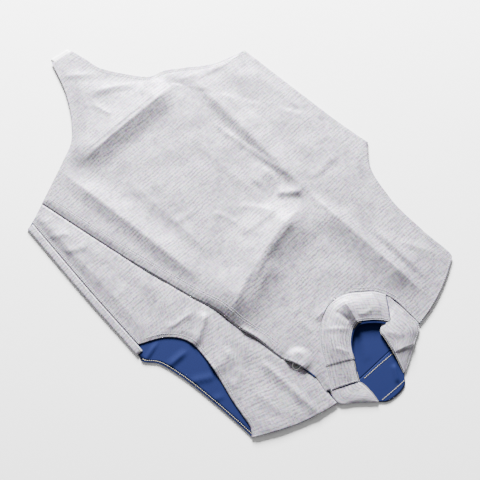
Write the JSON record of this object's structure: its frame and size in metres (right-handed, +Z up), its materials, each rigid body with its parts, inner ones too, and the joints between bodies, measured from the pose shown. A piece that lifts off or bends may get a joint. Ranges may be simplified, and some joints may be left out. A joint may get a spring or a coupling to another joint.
{
  "type": "fencing lame",
  "caption": "Sleeveless fencing jacket of silver metal-faced cloth with a blue lining, laid flat front up, with a stand collar, a flap over a hidden zip and a crotch point.",
  "frame": {"origin": "centre of the garment's box on the surface it lies on", "axes": "+Y from the crotch point to the collar, +X to the wearer's left, +Z up out of the front"},
  "size_m": [0.538, 0.8379, 0.0211],
  "materials": {
    "metal_cloth": "fine ribbed cloth woven with metal thread, soft metallic sheen",
    "blue_lining": "plain matte woven lining",
    "zip_tape": "twill tape",
    "zip_slider": "die-cast, satin",
    "zip_ring": "white enamelled wire",
    "strap_elastic": "knitted elastic"
  },
  "bodies": {
    "garment": {"back_panel": "metal_cloth", "front_left": "metal_cloth", "front_right": "metal_cloth", "collar_back": "metal_cloth", "collar_front": "metal_cloth", "collar_right": "metal_cloth", "collar_left": "metal_cloth", "back_lining": "blue_lining", "flap_facing": "blue_lining", "collar_back_lining": "blue_lining", "collar_front_lining": "blue_lining", "zip_tape": "zip_tape", "zip_slider": "zip_slider", "crotch_strap": "strap_elastic"},
    "pull_ring": {"zip_ring": "zip_ring"}
  },
  "joints": [
    {"name": "ring_swing", "type": "hinge", "parent": "garment", "child": "pull_ring", "pos_m": [0.09419, 0.27284, 0.00715], "axis": [0.3511, -0.9363, 0], "range_deg": [0, 45]}
  ]
}
